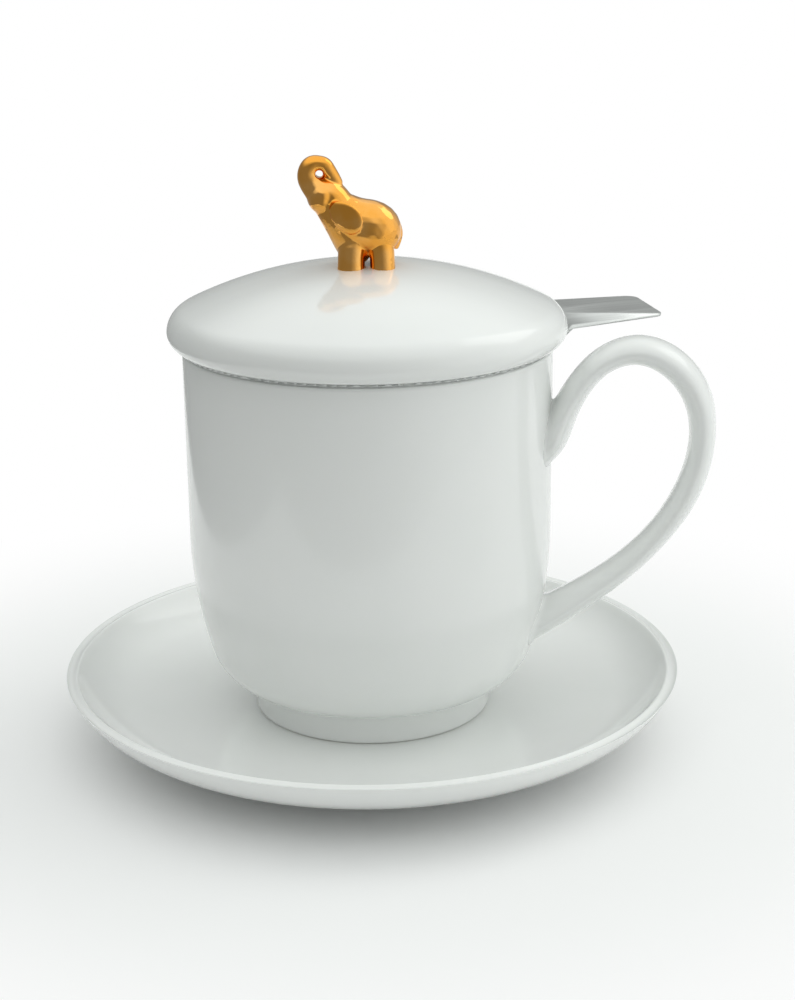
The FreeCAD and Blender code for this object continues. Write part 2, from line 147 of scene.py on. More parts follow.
class NodeBook:
    """Adds nodes to one node tree."""

    def __init__(self, tree: NodeTree) -> None:
        """Empty the tree and keep it."""
        self.tree = tree
        tree.nodes.clear()

    def node(self, kind: str, settings: dict[str, object], values: dict) -> Node:
        """Add a node.

        Args:
            kind: The node's type.
            settings: Properties of the node, set first.
            values: Numbers, colours or links for its input sockets.

        Returns:
            The new node.
        """
        made = self.tree.nodes.new(kind)
        for name, value in settings.items():
            setattr(made, name, value)
        for key, value in values.items():
            source = value.socket if isinstance(value, Signal) else value
            if isinstance(source, NodeSocket):
                self.tree.links.new(source, made.inputs[key])
            else:
                made.inputs[key].default_value = source
        return made

    def number(self, kind: str, settings: dict[str, object], values: dict, out: int = 0) -> Signal:
        """Add a node and wrap one of its outputs."""
        return Signal(self, self.node(kind, settings, values).outputs[out])

    def spot(self) -> NodeSocket:
        """Object coordinates, which are the frame's own in metres."""
        return self.node("ShaderNodeTexCoord", {}, {}).outputs["Object"]

    def axes(self, vector: NodeSocket) -> tuple[Signal, ...]:
        """The three parts of a vector."""
        split = self.node("ShaderNodeSeparateXYZ", {}, {"Vector": vector}).outputs
        return tuple(Signal(self, split[name]) for name in "XYZ")

    def place(self, turn_degrees: float = 0.0, scale: Sequence[float] = (1, 1, 1)) -> NodeSocket:
        """Object coordinates, turned about Z and scaled for a pattern."""
        turn = (0.0, 0.0, -math.radians(turn_degrees))
        turned = self.node("ShaderNodeMapping", {}, {"Vector": self.spot(), "Rotation": turn})
        spread = {0: turned.outputs[0], 1: tuple(scale)}
        return self.node("ShaderNodeVectorMath", {"operation": "MULTIPLY"}, spread).outputs[0]

    def noise(self, where: NodeSocket, scale: float, detail: float = 2.0) -> Signal:
        """A soft noise between 0 and 1."""
        return self.number("ShaderNodeTexNoise", {}, {"Vector": where, "Scale": scale, "Detail": detail})

    def height_mm(self) -> Signal:
        """Height above the table in millimetres."""
        return self.axes(self.spot())[2] * (1 / MM)

    def radius_mm(self) -> Signal:
        """Distance from the common axis in millimetres."""
        flat = {0: self.spot(), 1: (1, 1, 0)}
        level = self.node("ShaderNodeVectorMath", {"operation": "MULTIPLY"}, flat)
        reach = self.node("ShaderNodeVectorMath", {"operation": "LENGTH"}, {0: level.outputs[0]})
        return Signal(self, reach.outputs["Value"]) * (1 / MM)

    def tint(self, share: Signal, first: object, second: object) -> NodeSocket:
        """A colour that goes from one to another with a share.

        Args:
            share: 0 for the first, 1 for the second.
            first: A colour, or a socket that gives one.
            second: The same.

        Returns:
            The mixed colour's socket.
        """
        mix = self.tree.nodes.new("ShaderNodeMix")
        mix.data_type = "RGBA"
        ports = {port.name: port for port in mix.inputs if port.enabled}
        for name, value in (("Factor", share.socket), ("A", first), ("B", second)):
            if isinstance(value, NodeSocket):
                self.tree.links.new(value, ports[name])
            else:
                ports[name].default_value = (*value, 1.0)
        return next(port for port in mix.outputs if port.enabled)

    def bump(self, height: Signal, strength: float, distance_mm: float) -> NodeSocket:
        """A bump normal from a height."""
        values = {"Height": height, "Strength": strength, "Distance": distance_mm * MM}
        return self.node("ShaderNodeBump", {}, values).outputs["Normal"]

    def principled(self, values: dict) -> NodeSocket:
        """A Principled shader with its constants and links."""
        return self.node("ShaderNodeBsdfPrincipled", {}, values).outputs[0]

    def mixed(self, share: object, first: Node, second: Node) -> NodeSocket:
        """Two shaders, from the first to the second with a share."""
        values = {0: share, 1: first.outputs[0], 2: second.outputs[0]}
        return self.node("ShaderNodeMixShader", {}, values).outputs[0]


@dataclass(frozen=True)
class Finish:
    """A surface finish; each kind fills in its own nodes."""

    name: str
    colour: Triple
    roughness: float

    def material(self) -> Material:
        """Make the finish as a material, once per name."""
        known = bpy.data.materials.get(self.name)
        if known:
            return known
        made = bpy.data.materials.new(self.name)
        made.use_nodes = True
        book = NodeBook(made.node_tree)
        shader = self.shade(book)
        book.node("ShaderNodeOutputMaterial", {}, {"Surface": shader})
        return made

    def shade(self, book: NodeBook) -> NodeSocket:
        """Build the shader; the kinds below do this."""
        raise NotImplementedError


@dataclass(frozen=True)
class Glaze(Finish):
    """Clear-glazed bone china, with a matt unglazed line where a foot stands."""

    pooled: Triple = (0.80, 0.83, 0.81)
    bare: Triple = (0.80, 0.79, 0.75)
    foot_mm: float = -10.0
    bare_line_mm: Pair = (0.35, 0.15)
    cloud_scale: float = 38.0
    orange_peel_scale: float = 900.0
    pooling: float = 0.25
    coat: float = 0.6
    index: float = 1.52
    glow_depth_m: Triple = (0.004, 0.004, 0.0035)

    def shade(self, book: NodeBook) -> NodeSocket:
        """White body under a wet, very slightly wavy glaze."""
        spot = book.place()
        cloud = book.noise(spot, self.cloud_scale, 3.0)
        fine = book.noise(spot, self.orange_peel_scale, 2.0)
        bare = book.height_mm().step(*(self.foot_mm + line for line in self.bare_line_mm))
        glazed = book.tint(cloud.step(0.35, 0.75) * self.pooling, self.colour, self.pooled)
        return book.principled({
            "Base Color": book.tint(bare, glazed, self.bare),
            "Roughness": self.roughness + cloud * 0.03 + bare * 0.5,
            "Normal": book.bump(cloud * 0.9 + fine * 0.02, 0.10, 0.25),
            "Coat Weight": self.coat - bare * self.coat, "Coat Roughness": 0.04, "IOR": self.index,
            "Subsurface Weight": 0.08, "Subsurface Radius": self.glow_depth_m,
        })


@dataclass(frozen=True)
class Gilt(Finish):
    """Bright gold lustre over glaze, with faint brush ripples and rubbed high spots."""

    rubbed: Triple = (0.94, 0.50, 0.15)
    cloud_scale: float = 160.0
    ripple_scale: float = 520.0

    def shade(self, book: NodeBook) -> NodeSocket:
        """Mirror gold that is slightly uneven."""
        spot = book.place()
        cloud = book.noise(spot, self.cloud_scale, 3.0)
        ripple = book.noise(spot, self.ripple_scale, 2.0)
        return book.principled({
            "Base Color": book.tint(cloud.step(0.3, 0.8), self.colour, self.rubbed),
            "Roughness": self.roughness + cloud * 0.05,
            "Normal": book.bump(cloud + ripple * 0.2, 0.18, 0.12), "Metallic": 1.0,
        })


@dataclass(frozen=True)
class SatinSteel(Finish):
    """Stainless sheet with a fine brushed grain along one heading."""

    heading: float = 0.0
    streak: Triple = (14.0, 900.0, 900.0)
    cloud_scale: float = 60.0
    valley_tone: float = 0.86

    def shade(self, book: NodeBook) -> NodeSocket:
        """Grain that changes tone, gloss and relief together."""
        grain = book.noise(book.place(self.heading, self.streak), 1.0, 4.0)
        cloud = book.noise(book.place(), self.cloud_scale, 2.0)
        valley = tuple(self.valley_tone * c for c in self.colour)
        return book.principled({
            "Base Color": book.tint(grain.step(0.30, 0.70), valley, self.colour),
            "Roughness": self.roughness + grain * 0.12 + cloud * 0.06,
            "Normal": book.bump(grain, 0.12, 0.02), "Metallic": 1.0,
        })


# Mesh helpers


def linked(name: str, data: ID) -> Object:
    """A new object in the scene."""
    made = bpy.data.objects.new(name, data)
    bpy.context.scene.collection.objects.link(made)
    return made


def new_piece(name: str, mesh: Mesh, finish: Finish, crease: float = 0.0) -> Object:
    """Link a mesh as an object with one material.

    Args:
        name: The piece's name.
        mesh: Its mesh, in metres.
        finish: The finish for its only slot.
        crease: Edges sharper than this many degrees stay crisp; 0 smooths all.

    Returns:
        The linked object.
    """
    piece = linked(name, mesh)
    mesh.materials.clear()
    mesh.materials.append(finish.material())
    mesh.polygons.foreach_set("use_smooth", [True] * len(mesh.polygons))
    if crease:
        mesh.set_sharp_from_angle(angle=math.radians(crease))
    LOG.info("%s: %d faces", name, len(mesh.polygons))
    return piece


def settle(piece: Object, body: Body, slot: Slot, *nodes: str) -> None:
    """Let a piece ride on its body and stand for its CAD nodes."""
    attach(piece, body.value)
    if nodes:
        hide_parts(*nodes)


def from_work(name: str, work: BMesh) -> Mesh:
    """Turn work in progress into a mesh, and free it."""
    made = bpy.data.meshes.new(name)
    work.to_mesh(made)
    work.free()
    return made


def baked(host: Object) -> Mesh:
    """The plain mesh that an object's modifiers make; the object goes."""
    depsgraph = bpy.context.evaluated_depsgraph_get()
    made = bpy.data.meshes.new_from_object(host.evaluated_get(depsgraph))
    host.modifiers.clear()
    bpy.data.objects.remove(host, do_unlink=True)
    return made


def outward(mesh: Mesh, weld_mm: float = 0.0005) -> Mesh:
    """Weld doubles and turn the faces outwards."""
    work = bmesh.new()
    work.from_mesh(mesh)
    bmesh.ops.remove_doubles(work, verts=work.verts, dist=weld_mm * MM)
    bmesh.ops.recalc_face_normals(work, faces=work.faces)
    work.to_mesh(mesh)
    work.free()
    return mesh


def mesh_of(name: str, points_mm: np.ndarray, faces: Sequence[Sequence[int]]) -> Mesh:
    """A mesh in metres from points in millimetres."""
    made = bpy.data.meshes.new(name)
    made.from_pydata((np.asarray(points_mm, float) * MM).tolist(), [], [list(f) for f in faces])
    return outward(made)


def joined(name: str, meshes: Sequence[Mesh]) -> Mesh:
    """One mesh that holds several."""
    work = bmesh.new()
    for mesh in meshes:
        work.from_mesh(mesh)
    return from_work(name, work)


@dataclass
class Outline:
    """A closed section in radius and height, drawn as lines and arcs, with softened corners."""

    stations: Sequence[Triple]
    soften: int = 4
    step: float = 0.25
    tolerance: float = 0.006
    longest: float = 6.0

    def points(self) -> np.ndarray:
        """The outline as points, thinned where it runs straight.

        Returns:
            Rows of radius and height in millimetres.
        """
        dense = self._dense()
        on_axis = dense[:, 0] < ON_AXIS
        for _ in range(self.soften):
            mean = 0.25 * np.roll(dense, 1, 0) + 0.5 * dense + 0.25 * np.roll(dense, -1, 0)
            dense = np.where(on_axis[:, None], dense, mean)
        dense[:, 0] = np.where(on_axis, 0.0, np.maximum(dense[:, 0], 0.0))
        return self._thinned(dense)

    def _dense(self) -> np.ndarray:
        """Evenly spaced points along every line and arc."""
        rows: list[np.ndarray] = []
        before = self.stations[-1]
        for station in self.stations:
            start, end = np.array(before[:2], float), np.array(station[:2], float)
            before = station
            if start[0] < ON_AXIS and end[0] < ON_AXIS:
                rows.append(end[None, :])
                continue
            rows.append(arc_points(start, end, station[2], self.step)[1:])
        return np.vstack(rows)

    def _thinned(self, dense: np.ndarray) -> np.ndarray:
        """Drop points that lie within the tolerance of the line between their neighbours."""
        kept = [0]
        for index in range(2, len(dense)):
            first, last = dense[kept[-1]], dense[index]
            span = dense[kept[-1] + 1:index]
            way = last - first
            length = float(np.hypot(*way)) or 1e-9
            aside = np.abs((span[:, 0] - first[0]) * way[1] - (span[:, 1] - first[1]) * way[0]) / length
            if aside.max(initial=0.0) > self.tolerance or length > self.longest:
                kept.append(index - 1)
        kept.append(len(dense) - 1)
        return dense[kept]


def arc_points(start: np.ndarray, end: np.ndarray, bulge: float, step: float) -> np.ndarray:
    """Points from start to end along an arc whose middle lies bulge to the right.

    Args:
        start: First point, radius and height.
        end: Last point.
        bulge: Height of the arc over its chord; 0 for a line.
        step: Spacing of the points.

    Returns:
        The points, ends included.
    """
    way = end - start
    length = float(np.hypot(*way))
    count = max(2, int(math.ceil(length / step)) + 1)
    share = np.linspace(0, 1, count)
    if abs(bulge) < 1e-9:
        return start + share[:, None] * way
    aside = np.array([way[1], -way[0]]) / length
    radius = (length * length / 4 + bulge * bulge) / (2 * abs(bulge))
    side = math.copysign(1.0, bulge)
    centre = (start + end) / 2 + aside * (bulge - side * radius)
    first = math.atan2(*(start - centre)[::-1])
    last = math.atan2(*(end - centre)[::-1])
    turn = (last - first + math.pi) % (2 * math.pi) - math.pi
    angle = first + share * turn
    return centre + radius * np.stack([np.cos(angle), np.sin(angle)], 1)


def lathe(name: str, outline: Outline, segments: int = 224) -> Mesh:
    """The closed mesh that an outline sweeps round the Z axis.

    Args:
        name: Name for the mesh.
        outline: The section.
        segments: Number of steps round the axis.

    Returns:
        A mesh in metres with outward faces.
    """
    section = outline.points()
    turn = np.linspace(0, 2 * math.pi, segments, endpoint=False)
    points: list[np.ndarray] = []
    rings: list[list[int]] = []
    for radius, height in section:
        base = sum(len(p) for p in points)
        if radius < ON_AXIS:
            points.append(np.array([[0.0, 0.0, height]]))
            rings.append([base] * segments)
        else:
            ring = np.stack([radius * np.cos(turn), radius * np.sin(turn), np.full(segments, height)], 1)
            points.append(ring)
            rings.append(list(range(base, base + segments)))
    faces = []
    for ring, following in zip(rings, rings[1:] + rings[:1]):
        for index in range(segments):
            after = (index + 1) % segments
            corners = [ring[index], ring[after], following[after], following[index]]
            face = list(dict.fromkeys(corners))
            if len(face) > 2:
                faces.append(face)
    return mesh_of(name, np.vstack(points), faces)


def spline(rows: np.ndarray, count: int) -> np.ndarray:
    """A natural cubic spline through rows of numbers, spaced by the distance of their first two columns."""
    gaps = np.hypot(*np.diff(rows[:, :2], axis=0).T)
    knots = np.concatenate([[0], np.cumsum(gaps)])
    size = len(rows)
    left = np.zeros((size, size))
    right = np.zeros_like(rows)
    left[0, 0] = left[-1, -1] = 1
    for i in range(1, size - 1):
        left[i, i - 1:i + 2] = gaps[i - 1], 2 * (gaps[i - 1] + gaps[i]), gaps[i]
        rise_after = (rows[i + 1] - rows[i]) / gaps[i]
        rise_before = (rows[i] - rows[i - 1]) / gaps[i - 1]
        right[i] = 6 * (rise_after - rise_before)
    curve = np.linalg.solve(left, right)
    where = np.linspace(0, knots[-1], count)
    at = np.clip(np.searchsorted(knots, where, side="right") - 1, 0, size - 2)
    h = gaps[at][:, None]
    a = (knots[at + 1] - where)[:, None] / h
    b = (where - knots[at])[:, None] / h
    bend = ((a ** 3 - a) * curve[at] + (b ** 3 - b) * curve[at + 1]) * h ** 2 / 6
    return a * rows[at] + b * rows[at + 1] + bend


def shares(count: int) -> list[float]:
    """Evenly spaced shares from 0 to 1."""
    return [index / (count - 1) for index in range(count)]


def sagitta(start: Sequence[float], end: Sequence[float], radius: float) -> float:
    """How far an arc of a radius bows out from its chord."""
    half = 0.5 * math.hypot(end[0] - start[0], end[1] - start[1])
    return radius - math.sqrt(radius ** 2 - half ** 2)


# The pieces


@dataclass
class Saucer:
    """The coupe saucer."""

    radius: float = 75.0
    height: float = 20.0
    well: float = 7.5
    wall: float = 3.6
    rim_wall: float = 2.6
    foot_radius: float = 38.0
    foot_width: float = 3.2
    foot_draft: float = 0.6
    turn_share: float = 0.80
    turn_rise: float = 0.22
    turn_wall: float = 0.86
    under_bulge: float = 0.5
    side_bulge: float = 2.3
    bowl_hollow: float = 1.7
    well_hollow: float = 0.5

    def stations(self) -> list[Triple]:
        """The saucer's section."""
        foot_in = self.foot_radius - self.foot_width
        under = self.well - self.wall
        turn_in = self.radius * self.turn_share
        lip = self.rim_wall * 0.5
        low = self.well + (self.height - self.well) * self.turn_rise
        return [
            (foot_in, 0.0, 0.0),
            (self.foot_radius - self.foot_draft, 0.0, 0.0),
            (self.foot_radius, under, 0.0),
            (turn_in, low - self.wall * self.turn_wall, self.under_bulge),
            (self.radius, self.height - lip, self.side_bulge),
            (self.radius - self.rim_wall, self.height - lip, lip),
            (turn_in - 1.0, low, -self.bowl_hollow),
            (self.foot_radius - 2.0, self.well, -self.well_hollow),
            (0.0, self.well, 0.0),
            (0.0, under, 0.0),
            (foot_in - self.foot_draft, under, 0.0),
        ]

    def build(self) -> None:
        """Turn the saucer and set it on its body."""
        glaze = Glaze("saucer_glaze", (0.87, 0.885, 0.87), 0.16, foot_mm=0.0)
        mesh = lathe("saucer_turned", Outline(self.stations(), soften=14))
        piece = new_piece("saucer_china", mesh, glaze)
        settle(piece, Body.SAUCER, Slot.CHINA, "saucer")


@dataclass
class Mug:
    """The mug's body and handle."""

    radius: float = 43.5
    height: float = 89.8
    wall: float = 3.0
    base: float = 7.5
    belly_share: float = 0.5
    belly_round: float = 100.0
    hip_round: float = 13.0
    foot_radius: float = 28.9
    foot_flare: float = 0.7
    foot_width: float = 3.0
    foot_depth: float = 6.9
    foot_hollow: float = 6.3
    foot_chamfer: float = 0.5
    foot_cove: float = 0.35
    foot_draft: float = 0.4
    rim_round: float = 0.7
    handle_reach: float = 35.07
    handle_width: float = 13.6
    handle_thickness: float = 6.4
    glaze_fillet: float = 1.6
    # Out and up as shares of reach and height, then width and thickness as shares of their sizes
    handle_course: Sequence[Quad] = field(default_factory=lambda: (
        (-0.045, 0.708, 1.20, 0.62), (0.005, 0.750, 1.52, 1.00), (0.065, 0.812, 1.42, 1.04),
        (0.175, 0.897, 1.18, 0.94), (0.345, 0.968, 1.04, 0.94), (0.560, 0.995, 1.00, 1.02),
        (0.805, 0.957, 1.00, 1.09), (0.963, 0.870, 0.98, 1.06), (1.000, 0.765, 0.96, 0.97),
        (0.933, 0.640, 0.95, 0.97), (0.750, 0.513, 0.95, 0.90), (0.500, 0.408, 0.98, 0.92),
        (0.225, 0.326, 1.10, 1.00), (0.020, 0.274, 1.30, 1.08), (-0.150, 0.235, 1.44, 1.10)))

    def skin(self, inset: float) -> tuple[Pair, float, tuple, tuple, float]:
        """Hip centre and radius, the two joins and the belly radius, at an inset below the outside."""
        belly, hip = self.belly_round - inset, self.hip_round - inset
        belly_height = self.base + self.belly_share * self.height
        hip_height = self.base + self.foot_depth + self.hip_round
        drop = (belly_height - hip_height) / (self.belly_round - self.hip_round)
        level = math.sqrt(1 - drop ** 2)
        axis = self.radius - self.belly_round + (self.belly_round - self.hip_round) * level
        join = (axis + hip * level, hip_height - hip * drop)
        return (axis, hip_height), hip, join, (self.radius - inset, belly_height), belly

    def outer(self) -> list[Triple]:
        """The outside from the foot up to the rim."""
        centre, hip, join, upright, belly = self.skin(0.0)
        root = self.foot_radius + self.foot_flare
        foot = (root, centre[1] - math.sqrt(hip ** 2 - (root - centre[0]) ** 2))
        return [
            (self.foot_radius - self.foot_chamfer, self.base, 0.0),
            (self.foot_radius, self.base + self.foot_chamfer, 0.1),
            (*foot, -self.foot_cove),
            (*join, sagitta(foot, join, hip)),
            (*upright, sagitta(join, upright, belly)),
            (self.radius, self.base + self.height - self.rim_round, 0.0),
        ]

    def stations(self) -> list[Triple]:
        """The body's whole section."""
        centre, hip, join, upright, belly = self.skin(self.wall)
        floor = (centre[0], centre[1] - hip)
        inner = self.radius - self.wall
        foot_in = self.foot_radius - self.foot_width
        hollow = self.base + self.foot_hollow
        top = self.base + self.height
        return self.outer() + [
            (self.radius - self.rim_round, top, self.rim_round * QUARTER_ROUND),
            (inner + self.rim_round, top, 0.0),
            (inner, top - self.rim_round, self.rim_round * QUARTER_ROUND),
            (*upright, 0.0),
            (*join, -sagitta(upright, join, belly)),
            (*floor, -sagitta(join, floor, hip)),
            (0.0, floor[1], 0.0),
            (0.0, hollow, 0.0),
            (foot_in - 2 * self.foot_draft, hollow, 0.0),
            (foot_in + self.foot_draft, self.base, 0.0),
        ]

    def outer_radius(self, height: np.ndarray) -> np.ndarray:
        """Radius of the outside at heights."""
        top = self.base + self.height
        closing = [(self.radius, top, 0.0), (0.0, top, 0.0), (0.0, self.base, 0.0)]
        dense = Outline(self.outer() + closing, soften=0, tolerance=0.001).points()
        upright = (dense[:, 1] > self.base + 0.4) & (dense[:, 1] < top - 0.1)
        side = dense[upright & (dense[:, 0] > 5.0)]
        side = side[np.argsort(side[:, 1])]
        return np.interp(height, side[:, 1], side[:, 0])

    def handle_mesh(self, rings: int = 330, around: int = 88) -> Mesh:
        """The handle: ovals along its course, with a glaze fillet where it meets the wall.

        Args:
            rings: Number of ovals.
            around: Points in each oval.

        Returns:
            A closed mesh whose ends lie inside the mug's wall.
        """
        rows = np.array([(self.radius + a * self.handle_reach, self.base + b * self.height, w, t)
                         for a, b, w, t in self.handle_course])
        course = spline(rows, rings)
        way = np.gradient(course[:, :2], axis=0)
        way /= np.linalg.norm(way, axis=1)[:, None]
        thin = np.stack([way[:, 1], -way[:, 0]], 1)
        turn = np.linspace(0, 2 * math.pi, around, endpoint=False)
        half_wide = 0.5 * self.handle_width * course[:, 2][:, None] * np.cos(turn)[None, :]
        half_thin = 0.5 * self.handle_thickness * course[:, 3][:, None] * np.sin(turn)[None, :]
        x = course[:, 0][:, None] + thin[:, 0][:, None] * half_thin
        z = course[:, 1][:, None] + thin[:, 1][:, None] * half_thin
        points = np.stack([x, half_wide, z], 2)
        centres = np.stack([course[:, 0], np.zeros(rings), course[:, 1]], 1)[:, None, :]
        points = self._filleted(points, centres)
        faces = []
        for ring in range(rings - 1):
            for index in range(around):
                after = (index + 1) % around
                low, high = ring * around, (ring + 1) * around
                faces.append((low + index, low + after, high + after, high + index))
        faces.append(tuple(range(around)))
        faces.append(tuple(range((rings - 1) * around, rings * around)))
        return mesh_of("handle_swept", points.reshape(-1, 3), faces)

    def _filleted(self, points: np.ndarray, centres: np.ndarray) -> np.ndarray:
        """Flare the strap where it nears the wall, and keep its ends inside the wall."""
        reach = np.hypot(points[..., 0], points[..., 1])
        wall = self.outer_radius(points[..., 2])
        gap = reach - wall
        radial = np.stack([points[..., 0], points[..., 1], np.zeros_like(reach)], -1) / reach[..., None]
        away = points - centres
        away -= radial * np.sum(away * radial, -1, keepdims=True)
        away /= np.maximum(np.linalg.norm(away, axis=-1, keepdims=True), 1e-6)
        fillet = self.glaze_fillet
        inside = np.clip(fillet - gap, 0, fillet)
        flare = fillet - np.sqrt(np.maximum(fillet ** 2 - inside ** 2, 0))
        moved = points + away * flare[..., None]
        reach = np.hypot(moved[..., 0], moved[..., 1])
        floor = self.outer_radius(moved[..., 2]) - 0.5 * self.wall
        push = np.maximum(floor / reach, 1.0)
        moved[..., 0] *= push
        moved[..., 1] *= push
        return moved

    def build(self) -> None:
        """Make body and handle and set them on the mug's body."""
        glaze = Glaze("mug_glaze", (0.87, 0.885, 0.87), 0.16, foot_mm=self.base)
        mesh = lathe("mug_turned", Outline(self.stations(), soften=5))
        settle(new_piece("mug_china", mesh, glaze), Body.MUG, Slot.CHINA, "mug_body")
        handle = new_piece("handle_china", self.handle_mesh(), glaze)
        settle(handle, Body.MUG, Slot.CHINA, "mug_handle")


class Bend(Enum):
    """How a pierced strip is bent."""

    DRUM = 0.0
    DISC = 1.0


@dataclass
class PiercedSheet:
    """Sheet steel with rows of round holes, rolled to a drum or laid as rings of a disc."""

    sheet: float = 0.6
    hole_share: float = 0.245
    hole_corners: int = 12
    tree_name: str = "pierced_sheet"

    def cell(self) -> Object:
        """One square of sheet with a hole, one unit wide and one unit thick."""
        count = self.hole_corners
        turn = [2 * math.pi * (i + 0.5) / count for i in range(count)]
        points: list[Triple] = []
        for side in (0.5, -0.5):
            for angle in turn:
                across, along = math.cos(angle), math.sin(angle)
                stretch = 0.5 / max(abs(across), abs(along))
                points.append((across * stretch, along * stretch, side))
            for angle in turn:
                points.append((math.cos(angle) * self.hole_share, math.sin(angle) * self.hole_share, side))
        for side in (0.5, -0.5):
            points += [(x, y, side) for x, y in ((0.5, 0.5), (-0.5, 0.5), (-0.5, -0.5), (0.5, -0.5))]
        faces = self._cell_faces(points, count)
        mesh = bpy.data.meshes.new("pierced_cell")
        mesh.from_pydata(points, [], faces)
        return linked("pierced_cell", mesh)

    def _cell_faces(self, points: list, count: int) -> list[tuple[int, ...]]:
        """Front, back and hole faces of the cell."""
        faces: list[tuple[int, ...]] = []
        corner_at = {count // 8: 0, 3 * count // 8: 1, 5 * count // 8: 2, 7 * count // 8: 3}
        for index in range(count):
            after = (index + 1) % count
            out, hole, back = 0, count, 2 * count
            front = [out + index, out + after, hole + after, hole + index]
            rear = [p + back for p in reversed(front)]
            if index in corner_at:
                corner = 4 * count + corner_at[index]
                front.insert(1, corner)
                rear.insert(3, corner + 4)
            faces.append(tuple(front))
            faces.append(tuple(rear))
            faces.append((hole + index, hole + after, hole + back + after, hole + back + index))
        return faces

    def tree(self) -> NodeTree:
        """The node tree that repeats, staggers and bends the cell."""
        known = bpy.data.node_groups.get(self.tree_name)
        if known:
            return known
        tree = bpy.data.node_groups.new(self.tree_name, "GeometryNodeTree")
        face = tree.interface
        face.new_socket(name="Geometry", in_out="INPUT", socket_type="NodeSocketGeometry")
        for name, kind in (("Cell", "Object"), ("Columns", "Int"), ("Rows", "Int"), ("Radius", "Float"),
                           ("Row Pitch", "Float"), ("Sheet", "Float"), ("Lift", "Float"),
                           ("Bend", "Float"), ("Finish", "Material")):
            face.new_socket(name=name, in_out="INPUT", socket_type="NodeSocket" + kind)
        face.new_socket(name="Geometry", in_out="OUTPUT", socket_type="NodeSocketGeometry")
        PiercedTree(tree).wire()
        return tree

    def strip(self, name: str, finish: Finish, bend: Bend, columns: int, rows: int, radius: float,
              pitch: float, lift: float) -> Mesh:
        """Make one pierced strip as a plain mesh.

        Args:
            name: Name for the mesh.
            finish: Its finish.
            bend: Drum or disc.
            columns: Holes round the axis.
            rows: Rows of holes.
            radius: Middle radius of a drum's sheet, or of a disc's first row.
            pitch: Distance between rows.
            lift: Height of the strip's middle.

        Returns:
            The strip's mesh in metres.
        """
        cell = self.cell()
        host = linked(name + "_host", bpy.data.meshes.new(name + "_host"))
        modifier = host.modifiers.new("pierce", "NODES")
        modifier.node_group = self.tree()
        values = {"Cell": cell, "Columns": columns, "Rows": rows, "Radius": radius * MM,
                  "Row Pitch": pitch * MM, "Sheet": self.sheet * MM, "Lift": lift * MM,
                  "Bend": bend.value, "Finish": finish.material()}
        for item in modifier.node_group.interface.items_tree:
            if item.item_type == "SOCKET" and item.in_out == "INPUT" and item.name in values:
                modifier[item.identifier] = values[item.name]
        host.update_tag()
        mesh = baked(host)
        bpy.data.objects.remove(cell, do_unlink=True)
        return mesh


class PiercedTree(NodeBook):
    """Wires the pierced sheet's geometry nodes."""

    weld_m = 2e-6

    def __init__(self, tree: NodeTree) -> None:
        """Keep the tree and add its ends."""
        super().__init__(tree)
        self.given = tree.nodes.new("NodeGroupInput").outputs
        self.result = tree.nodes.new("NodeGroupOutput").inputs[0]

    def value(self, name: str) -> Signal:
        """One of the numbers that the sheet is given."""
        return Signal(self, self.given[name])

    def position(self) -> tuple[Signal, ...]:
        """Across, along and through the sheet, at each point."""
        return self.axes(self.node("GeometryNodeInputPosition", {}, {}).outputs[0])

    def chained(self, kind: str, before: Node, values: dict) -> Node:
        """Add a node that takes the geometry of the one before."""
        return self.node(kind, {}, {"Geometry": before.outputs[0], **values})

    def wire(self) -> None:
        """Grid of points, cells on them, then the bend."""
        wide, tall = self.value("Columns") - 1.0, self.value("Rows") - 1.0
        grid = self.node("GeometryNodeMeshGrid", {}, {
            "Size X": wide, "Size Y": tall,
            "Vertices X": self.value("Columns"), "Vertices Y": self.value("Rows")})
        row = self.position()[1] + tall * 0.5
        odd = row.turned_by("ROUND").modulo(2.0)
        shift = self.node("ShaderNodeCombineXYZ", {}, {"X": odd * 0.5}).outputs[0]
        staggered = self.chained("GeometryNodeSetPosition", grid, {"Offset": shift})
        cell = self.node("GeometryNodeObjectInfo", {}, {"Object": self.given["Cell"]})
        placed = self.node("GeometryNodeInstanceOnPoints", {}, {
            "Points": staggered.outputs[0], "Instance": cell.outputs["Geometry"]})
        real = self.chained("GeometryNodeRealizeInstances", placed, {})
        bent = self.chained("GeometryNodeSetPosition", real, {"Position": self.bent_position()})
        welded = self.chained("GeometryNodeMergeByDistance", bent, {"Distance": self.weld_m})
        dressed = self.chained("GeometryNodeSetMaterial", welded, {"Material": self.given["Finish"]})
        self.tree.links.new(dressed.outputs[0], self.result)

    def bent_position(self) -> NodeSocket:
        """The place of each point after rolling to a drum or laying as a disc."""
        across, along, through = self.position()
        angle = across * (2 * math.pi) / self.value("Columns")
        cosine, sine = angle.turned_by("COSINE"), angle.turned_by("SINE")
        rise, depth = along * self.value("Row Pitch"), through * self.value("Sheet")
        drum, disc = self.value("Radius") + depth, self.value("Radius") + rise
        rolled, laid = (
            self.node("ShaderNodeCombineXYZ", {}, {
                "X": reach * cosine, "Y": reach * sine, "Z": up + self.value("Lift")}).outputs[0]
            for reach, up in ((drum, rise), (disc, depth)))
        blend = self.node("ShaderNodeMix", {"data_type": "VECTOR"}, {
            0: self.given["Bend"], 4: rolled, 5: laid})
        return blend.outputs[1]


